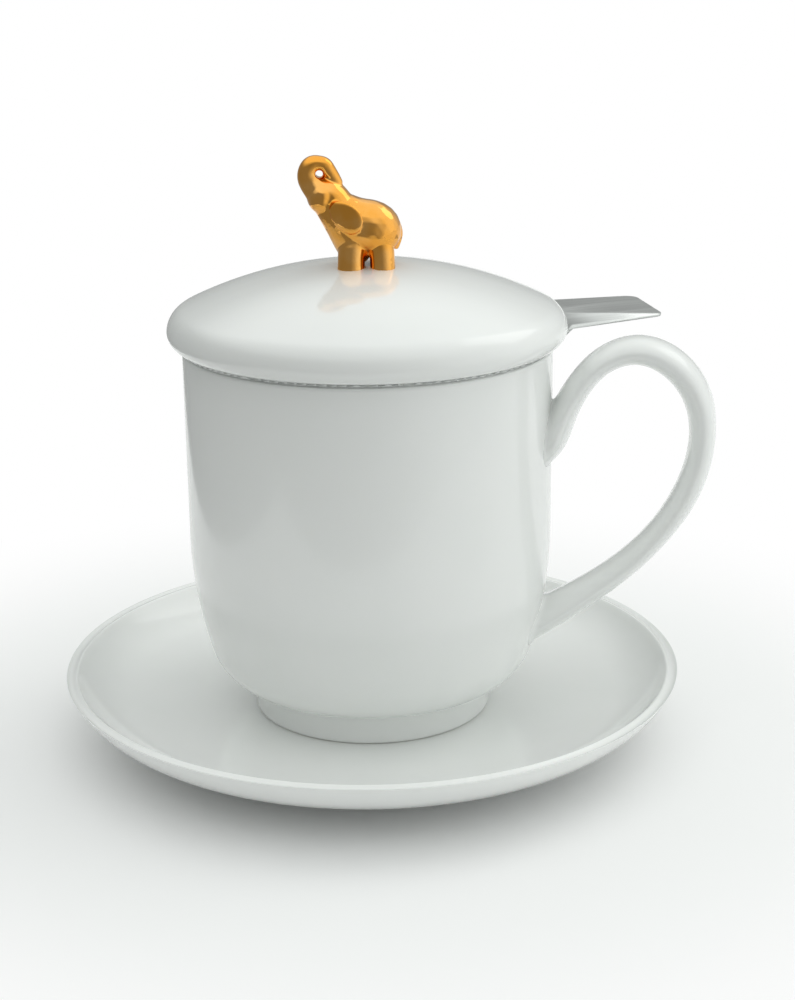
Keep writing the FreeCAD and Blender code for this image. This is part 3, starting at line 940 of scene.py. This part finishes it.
@dataclass
class Infuser:
    """The drop-in basket: pressed ring with its tab, pierced wall and pierced dish."""

    sheet: float = 0.6
    outer: float = 36.6
    top: float = 97.3
    base: float = 33.3
    upstand: float = 1.8
    clearance: float = 0.05
    plain_band: float = 6.0
    plain_foot: float = 1.0
    corner: float = 1.2
    corner_ease: float = 0.12
    edge_break: float = 0.12
    cut_angle: float = 50.0
    crease: float = 32.0
    columns: int = 84
    rows: int = 20
    disc_pitch: float = 2.55
    disc_rings: int = 12
    tab_heading: float = 28.5
    drawn_grain: Triple = (420.0, 420.0, 30.0)

    def rim(self) -> None:
        """Ring and tab: the CAD shape, welded and with its cut edges broken."""
        steel = SatinSteel("tab_steel", (0.66, 0.675, 0.665), 0.26, heading=self.tab_heading)
        work = bmesh.new()
        work.from_mesh(bpy.data.objects["infuser_rim"].data)
        bmesh.ops.remove_doubles(work, verts=work.verts, dist=PiercedTree.weld_m)
        sharp = math.radians(self.cut_angle)
        edges = [e for e in work.edges if len(e.link_faces) == 2 and e.calc_face_angle() > sharp]
        bmesh.ops.bevel(work, geom=edges, offset=self.edge_break * MM, segments=2, affect="EDGES",
                        clamp_overlap=True)
        piece = new_piece("infuser_ring_and_tab", from_work("rim_pressed", work), steel, self.crease)
        settle(piece, Body.INFUSER, Slot.STEEL, "infuser_rim")

    def wall(self) -> None:
        """The rolled wall: plain bands above and below the pierced one."""
        steel = SatinSteel("basket_steel", (0.64, 0.65, 0.64), 0.30, streak=self.drawn_grain)
        middle = self.outer - 0.5 * self.sheet
        low = self.base + self.upstand + self.plain_foot
        high = self.top - self.plain_band
        pitch = (high - low) / self.rows
        pierced = PiercedSheet(self.sheet).strip(
            "wall_pierced", steel, Bend.DRUM, self.columns, self.rows, middle, pitch, 0.5 * (low + high))
        bands = [self.band("wall_low", self.base, low), self.band("wall_high", high, self.top)]
        piece = new_piece("infuser_wall_pierced", joined("wall", [pierced, *bands]), steel, self.crease)
        settle(piece, Body.INFUSER, Slot.STEEL, "infuser_wall")

    def band(self, name: str, low: float, high: float) -> Mesh:
        """A plain ring of the wall between two heights."""
        inner = self.outer - self.sheet
        ring = [(inner, low, 0.0), (self.outer, low, 0.0), (self.outer, high, 0.0), (inner, high, 0.0)]
        return lathe(name, Outline(ring, soften=0), 2 * self.columns)

    def dish(self) -> None:
        """The pressed dish: upstand, plain edge and rings of holes."""
        steel = SatinSteel("dish_steel", (0.64, 0.65, 0.64), 0.30, streak=self.drawn_grain)
        outer = self.outer - self.sheet - self.clearance
        edge = (self.disc_rings + 0.5) * self.disc_pitch
        high = self.base + self.sheet
        corner, tall = self.base + self.corner, self.base + self.upstand
        shell = [
            (edge, self.base, 0.0), (outer - self.corner, self.base, 0.0),
            (outer, corner, self.corner * QUARTER_ROUND), (outer, tall, 0.0),
            (outer - self.sheet, tall, 0.0), (outer - self.sheet, corner, 0.0),
            (outer - self.corner, high, -self.corner_ease), (edge, high, 0.0),
        ]
        hub = [(0.0, self.base, 0.0), (0.5 * self.disc_pitch, self.base, 0.0),
               (0.5 * self.disc_pitch, high, 0.0), (0.0, high, 0.0)]
        meshes = [lathe("dish_edge", Outline(shell, soften=0), 6 * self.disc_rings * 2),
                  lathe("dish_hub", Outline(hub, soften=0), 24)]
        for ring in range(1, self.disc_rings + 1):
            meshes.append(PiercedSheet(self.sheet).strip(
                "dish_ring", steel, Bend.DISC, 6 * ring, 1, ring * self.disc_pitch, self.disc_pitch,
                self.base + 0.5 * self.sheet))
        piece = new_piece("infuser_dish_pierced", joined("dish", meshes), steel, self.crease)
        settle(piece, Body.INFUSER, Slot.STEEL, "infuser_base")

    def build(self) -> None:
        """Make all three sheet parts."""
        self.rim()
        self.wall()
        self.dish()


@dataclass
class Lid:
    """The domed lid."""

    radius: float = 46.9
    seat_top: float = 97.9
    height: float = 18.8044
    wall: float = 3.4
    crown_radius: float = 100.0
    shoulder: float = 6.0
    seat_outer: float = 43.5
    seat_inner: float = 40.5
    spigot: float = 35.2
    spigot_wall: float = 2.8
    spigot_depth: float = 5.0
    lip_bulge: float = 0.8
    spigot_round: float = 0.3

    def under(self, radius: float) -> float:
        """Height of the crown's underside at a radius."""
        crown = self.crown_radius - self.wall
        return self.seat_top + self.height - self.wall - crown + math.sqrt(crown ** 2 - radius ** 2)

    def stations(self) -> list[Triple]:
        """The lid's section, from the pole of the crown outwards, under and back."""
        top = self.seat_top + self.height
        sine = (self.radius - self.shoulder) / (self.crown_radius - self.shoulder)
        cosine = math.sqrt(1 - sine ** 2)
        joint = (self.crown_radius * sine, top - self.crown_radius * (1 - cosine))
        widest = (self.radius, top - self.crown_radius + (self.crown_radius - self.shoulder) * cosine)
        spigot_in = self.spigot - self.spigot_wall
        foot = self.seat_top - self.spigot_depth
        crown_in = self.crown_radius - self.wall
        groove = ((self.spigot, self.under(self.spigot)), (self.seat_inner, self.under(self.seat_inner)))
        hollow = (spigot_in, self.under(spigot_in))
        pole = (0.0, top - self.wall)
        return [
            (0.0, top, 0.0),
            (*joint, -sagitta((0.0, top), joint, self.crown_radius)),
            (*widest, -sagitta(joint, widest, self.shoulder)),
            (self.seat_outer, self.seat_top, -self.lip_bulge),
            (self.seat_inner, self.seat_top, 0.0),
            (*groove[1], 0.0),
            (*groove[0], sagitta(groove[0], groove[1], crown_in)),
            (self.spigot, foot, 0.0),
            (spigot_in, foot, -self.spigot_wall * self.spigot_round),
            (*hollow, 0.0),
            (*pole, sagitta(hollow, pole, crown_in)),
        ]

    def build(self) -> None:
        """Turn the lid and set it on its body."""
        glaze = Glaze("lid_glaze", (0.87, 0.885, 0.87), 0.14, foot_mm=self.seat_top - self.spigot_depth - 5)
        mesh = lathe("lid_turned", Outline(self.stations(), soften=4))
        settle(new_piece("lid_china", mesh, glaze), Body.LID, Slot.CHINA, "lid_shell")


@dataclass
class Elephant:
    """The gilt elephant on the lid: blobs along its limbs, fused, smoothed and polished.

    Spots are distances ahead and up from the middle of its stance, in millimetres.
    """

    crown_top: float = 116.7
    sink: float = 0.4
    heading: float = 188.0
    side: float = 3.0
    voxel: float = 0.2
    smoothing: int = 8
    # Ahead, up, half height and half width of each blob
    body: Sequence[Quad] = (
        (-3.0, 7.3, 4.8, 5.6), (-2.3, 8.3, 5.9, 6.2), (-0.9, 8.9, 6.3, 6.3), (0.8, 9.2, 6.3, 6.2),
        (2.6, 9.8, 6.1, 6.0), (4.4, 11.0, 5.6, 5.7))
    neck: Sequence[Quad] = (
        (2.6, 4.0, 3.9, 5.2), (3.6, 7.0, 4.5, 5.4), (5.0, 10.3, 4.7, 5.4), (6.6, 13.1, 4.6, 5.0),
        (8.4, 15.7, 4.3, 4.3), (10.5, 17.3, 3.4, 3.4), (12.1, 18.8, 2.8, 2.75), (13.0, 20.4, 2.5, 2.5),
        (12.9, 22.0, 2.3, 2.4), (12.0, 23.15, 2.2, 2.3), (10.7, 23.5, 1.9, 2.15), (9.3, 23.2, 1.8, 2.05),
        (8.3, 22.0, 1.7, 1.95), (7.4, 20.6, 1.6, 1.8), (6.4, 19.2, 1.3, 1.5))
    # Ahead, aside, hoof's radius and shank's radius
    hooves: Sequence[Quad] = ((3.5, 3.2, 3.3, 3.05), (-3.7, 3.2, 3.0, 2.8))
    # Ahead, up and radius
    eyelet: Triple = (10.45, 21.3, 0.85)
    # Ahead, up, reach and height of brow, eye and cheek
    dents: Sequence[Quad] = (
        (9.6, 17.6, 1.3, 0.35), (10.7, 16.2, 0.9, -0.28), (8.3, 15.5, 1.2, -0.35))
    face_from: float = 2.0
    cheeks: tuple[float, float, Triple, float] = (9.6, 15.6, (4.0, 4.9, 3.6), 40.0)
    limb_blobs: int = 20
    leg_height: float = 9.0
    leg_slice: float = 1.2
    leg_lean: float = 0.9
    leg_draw_in: float = 1.9
    tail_root: Pair = (-6.9, 10.6)
    tail_length: float = 6.2
    tail_bow: float = 0.9
    tail_girth: float = 0.7
    ear_blobs: int = 13
    ear_pin: Pair = (7.2, 14.4)
    ear_hang: Pair = (3.9, 3.1)
    ear_breadth: float = 2.05
    ear_root: float = 4.7
    ear_stand: float = 1.6
    ear_thickness: float = 0.75
    ear_splay: float = 14.0

    def blob(self, work: BMesh, ahead: float, up: float, side: float,
             sizes: Sequence[float], tilt: float = 0.0, splay: float = 0.0) -> None:
        """Add one ellipsoid at a spot of the figure.

        Args:
            work: The mesh that takes it.
            ahead: Distance towards the head.
            up: Height over the foot of the figure.
            side: Distance to one side.
            sizes: Half sizes ahead, to the side and up.
            tilt: Nose-up tilt in degrees.
            splay: Turn about the upright in degrees, outwards at the back.
        """
        place = Matrix.Translation(Vector((ahead, side, up)) * MM)
        turn = Matrix.Rotation(math.radians(splay), 4, "Z") @ Matrix.Rotation(-math.radians(tilt), 4, "Y")
        stretch = Matrix.Diagonal((*(s * MM for s in sizes), 1.0))
        bmesh.ops.create_icosphere(work, subdivisions=3, radius=1.0, matrix=place @ turn @ stretch)

    def trunk_and_body(self, work: BMesh) -> None:
        """Barrel of the body, then neck, head and the trunk that curls back on it."""
        for limb in (self.body, self.neck):
            rows = np.array(limb)
            for ahead, up, girth, width in spline(rows, 7 * len(rows)):
                self.blob(work, ahead, up, 0.0, (girth, width, girth))
        ahead, up, sizes, tilt = self.cheeks
        self.blob(work, ahead, up, 0.0, sizes, tilt)

    def legs(self, work: BMesh) -> None:
        """Four stout legs that swell at the hoof and run into the body."""
        for (ahead, side, hoof, shank), way in itertools.product(self.hooves, (-1, 1)):
            toward = -1 if ahead > 0 else 1
            for share in shares(self.limb_blobs):
                swell = max(0.0, 1 - 3.2 * share) ** 2
                girth = shank + (hoof - shank) * swell + 0.5 * share - 1.4 * share ** 4
                place = ahead + toward * self.leg_lean * share ** 2
                aside = way * (side - self.leg_draw_in * share ** 2)
                self.blob(work, place, -0.2 + self.leg_height * share, aside, (girth, girth, self.leg_slice))

    def tail(self, work: BMesh) -> None:
        """The tail that hangs on the rump, with a small tuft."""
        ahead, up = self.tail_root
        for share in shares(self.limb_blobs):
            bow = self.tail_bow * math.sin(math.pi * share)
            sizes = (self.tail_girth, 0.6 + 0.3 * share ** 6, self.tail_girth)
            self.blob(work, ahead - bow, up - self.tail_length * share, 0.0, sizes)

    def ears(self, work: BMesh) -> None:
        """Drop-shaped ears, pinned at the head, that stand off the neck and hang back."""
        for way, share in itertools.product((-1, 1), shares(self.ear_blobs)):
            ahead, up = (pin - hang * share for pin, hang in zip(self.ear_pin, self.ear_hang))
            half = 1.0 + self.ear_breadth * math.sin(math.pi * (0.02 + 0.62 * share))
            aside = way * (self.ear_root + self.ear_stand * math.sin(0.5 * math.pi * share))
            self.blob(work, ahead, up, aside, (half, self.ear_thickness, half * 1.08), 0.0,
                      -way * self.ear_splay)

    def rough(self) -> Mesh:
        """All blobs of the figure, overlapping, in its own frame."""
        work = bmesh.new()
        for limbs in (self.trunk_and_body, self.legs, self.tail, self.ears):
            limbs(work)
        return from_work("elephant_rough", work)

    def marks(self, mesh: Mesh) -> None:
        """Lift a brow on each side of the head and press a shallow eye and cheek beside it."""
        count = len(mesh.vertices)
        flat = np.empty(count * 3)
        mesh.vertices.foreach_get("co", flat)
        spots = flat.reshape(-1, 3) / MM
        normals = np.array([v.normal[:] for v in mesh.vertices])
        shift = np.zeros(count)
        sides = np.abs(spots[:, 1]) > self.face_from
        for ahead, up, reach, depth in self.dents:
            away = (spots[:, 0] - ahead) ** 2 + (spots[:, 2] - up) ** 2
            shift += depth * np.exp(-away / reach ** 2) * sides
        spots += normals * shift[:, None]
        mesh.vertices.foreach_set("co", (spots * MM).ravel())
        mesh.update()

    def refuse(self, host: Object, name: str) -> None:
        """Add a voxel remesh, which fuses all that overlaps into one skin."""
        fuse = host.modifiers.new(name, "REMESH")
        fuse.mode = "VOXEL"
        fuse.voxel_size = self.voxel * MM

    def eased(self, mesh: Mesh, cutter: Object) -> Mesh:
        """Fuse the blobs into one skin, cut the eyelet and smooth it.

        Args:
            mesh: The overlapping blobs.
            cutter: A pin for the eyelet under the curl.

        Returns:
            One closed smooth mesh.
        """
        host = linked("elephant_host", mesh)
        self.refuse(host, "fuse")
        cut = host.modifiers.new("cut", "BOOLEAN")
        cut.operation, cut.solver, cut.object = "DIFFERENCE", "EXACT", cutter
        self.refuse(host, "again")
        ease = host.modifiers.new("ease", "SMOOTH")
        ease.factor, ease.iterations = 0.5, self.smoothing
        return baked(host)

    def eyelet_pin(self) -> Object:
        """The pin that opens the small hole under the trunk's curl."""
        ahead, up, radius = self.eyelet
        work = bmesh.new()
        place = Matrix.Translation(Vector((ahead, 0, up)) * MM) @ Matrix.Rotation(math.pi / 2, 4, "X")
        bmesh.ops.create_cone(work, cap_ends=True, segments=32, radius1=radius * MM, radius2=radius * MM,
                              depth=20 * MM, matrix=place)
        return linked("eyelet_pin", from_work("eyelet_pin", work))

    def build(self) -> None:
        """Fuse, smooth, mark, place and gild the figure."""
        pin = self.eyelet_pin()
        mesh = self.eased(self.rough(), pin)
        bpy.data.objects.remove(pin, do_unlink=True)
        self.marks(mesh)
        turn = Matrix.Rotation(math.radians(self.heading), 4, "Z")
        lift = Matrix.Translation(Vector((0, self.side, self.crown_top - self.sink)) * MM)
        mesh.transform(turn @ lift)
        gold = Gilt("gilt_lustre", (0.88, 0.39, 0.06), 0.05)
        piece = new_piece("elephant_gilt", outward(mesh), gold)
        settle(piece, Body.LID, Slot.GILT, "lid_finial")


# The room


@dataclass
class Studio:
    """Camera, world, floor and lamp."""

    eye: Triple = (60.94, -433.62, 195.17)
    yaw: float = 0.0151288
    pitch: float = 0.3023419
    roll: float = 0.0105967
    frame_turn: float = 8.0
    focal_pixels: float = 1900.0
    long_side: float = 1000.0
    table_near: float = 200.0
    table_far: float = 2500.0
    light_top: float = 1.14
    light_right: float = 1.13
    light_left: float = 0.27
    light_back: float = 0.38
    light_front: float = 0.28
    ceiling: Pair = (0.35, 0.80)
    room_tint: Quad = (0.975, 1.0, 0.985, 1)
    paper_tone: Quad = (0.93, 0.93, 0.93, 1)
    table_fade: Pair = (90.0, 190.0)
    sensor: float = 36.0
    key_place: Triple = (0.75, 0.45, 0.95)
    key_size: Pair = (0.7, 0.7)
    key_watts: float = 1.3
    key_colour: Triple = (1.0, 1.0, 0.98)

    def camera(self) -> None:
        """The camera at the photograph's angle."""
        cy, sy = math.cos(self.yaw), math.sin(self.yaw)
        cp, sp = math.cos(self.pitch), math.sin(self.pitch)
        cr, sr = math.cos(self.roll), math.sin(self.roll)
        right = Vector((cy * cr - sy * sp * sr, -sy * cr - cy * sp * sr, -cp * sr))
        up = Vector((cy * sr + sy * sp * cr, -sy * sr + cy * sp * cr, cp * cr))
        ahead = Vector((sy * cp, cy * cp, -sp))
        turn = Matrix.Rotation(math.radians(self.frame_turn), 3, "Z")
        axes = Matrix((turn @ right, turn @ up, turn @ -ahead)).transposed()
        data = bpy.data.cameras.new("photo_camera")
        data.sensor_width = self.sensor
        data.lens = self.focal_pixels * self.sensor / self.long_side
        data.clip_start, data.clip_end = 0.01, 50.0
        camera = linked("photo_camera", data)
        camera.matrix_world = Matrix.Translation(Vector(self.eye) * MM) @ axes.to_4x4()
        bpy.context.scene.camera = camera

    def world(self) -> None:
        """A pale room, bright overhead and to the right, dim to the left and behind the camera."""
        world = bpy.data.worlds.new("pale_room")
        world.use_nodes = True
        book = NodeBook(world.node_tree)
        way = book.node("ShaderNodeTexCoord", {}, {}).outputs["Generated"]
        across, along, rise = book.axes(way)
        overhead = rise.step(*self.ceiling)
        level = across * across + along * along + 1e-4
        right, left = across.above(0.0) ** 2, (0.0 - across).above(0.0) ** 2
        back, front = along.above(0.0) ** 2, (0.0 - along).above(0.0) ** 2
        sides = (right * self.light_right + left * self.light_left
                 + back * self.light_back + front * self.light_front) / level
        strength = overhead * self.light_top + (1 - overhead) * sides
        lit = book.node("ShaderNodeBackground", {}, {"Color": self.room_tint, "Strength": strength})
        seen = book.node("ShaderNodeBackground", {}, {"Color": (1, 1, 1, 1), "Strength": 1.0})
        is_camera = book.node("ShaderNodeLightPath", {}, {}).outputs["Is Camera Ray"]
        book.node("ShaderNodeOutputWorld", {}, {"Surface": book.mixed(is_camera, lit, seen)})
        bpy.context.scene.world = world

    def key_lamp(self) -> None:
        """A soft square lamp high on the right, which looks at the mug."""
        data = bpy.data.lights.new("key_lamp", "AREA")
        data.shape = "RECTANGLE"
        data.size, data.size_y = self.key_size
        data.energy, data.color = self.key_watts, self.key_colour
        lamp = linked("key_lamp", data)
        spot = Vector(self.key_place)
        way = Vector((0, 0, 0.06)) - spot
        lamp.matrix_world = Matrix.Translation(spot) @ way.to_track_quat("-Z", "Y").to_matrix().to_4x4()

    def floor(self) -> None:
        """A white table top that keeps the saucer's shadow and fades to plain white.

        It runs far to the back and right and ends just past the shadow on the other two sides, so
        that the dim side of the room shows in the gold and the glaze.
        """
        made = bpy.data.materials.new("white_floor")
        made.use_nodes = True
        book = NodeBook(made.node_tree)
        paper = book.node("ShaderNodeBsdfDiffuse", {}, {"Color": self.paper_tone})
        glow = book.node("ShaderNodeEmission", {}, {"Color": (1, 1, 1, 1), "Strength": 1.0})
        path = book.node("ShaderNodeLightPath", {}, {}).outputs
        share = Signal(book, path["Is Camera Ray"]) * book.radius_mm().step(*self.table_fade)
        book.node("ShaderNodeOutputMaterial", {}, {"Surface": book.mixed(share, paper, glow)})
        near, far = -self.table_near * MM, self.table_far * MM
        mesh = bpy.data.meshes.new("floor")
        corners = [(near, near, 0), (far, near, 0), (far, far, 0), (near, far, 0)]
        mesh.from_pydata(corners, [], [(0, 1, 2, 3)])
        mesh.materials.append(made)
        linked("floor", mesh)

    def build(self) -> None:
        """Set up the whole room."""
        self.camera()
        self.world()
        self.floor()
        self.key_lamp()
        bpy.context.scene.view_settings.view_transform = "Standard"


def main() -> None:
    """Load the frame and build every piece."""
    logging.basicConfig(level=logging.INFO, format="%(name)s %(message)s")
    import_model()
    Studio().build()
    for part in (Saucer(), Mug(), Infuser(), Lid(), Elephant()):
        part.build()


if __name__ == "__main__":
    main()
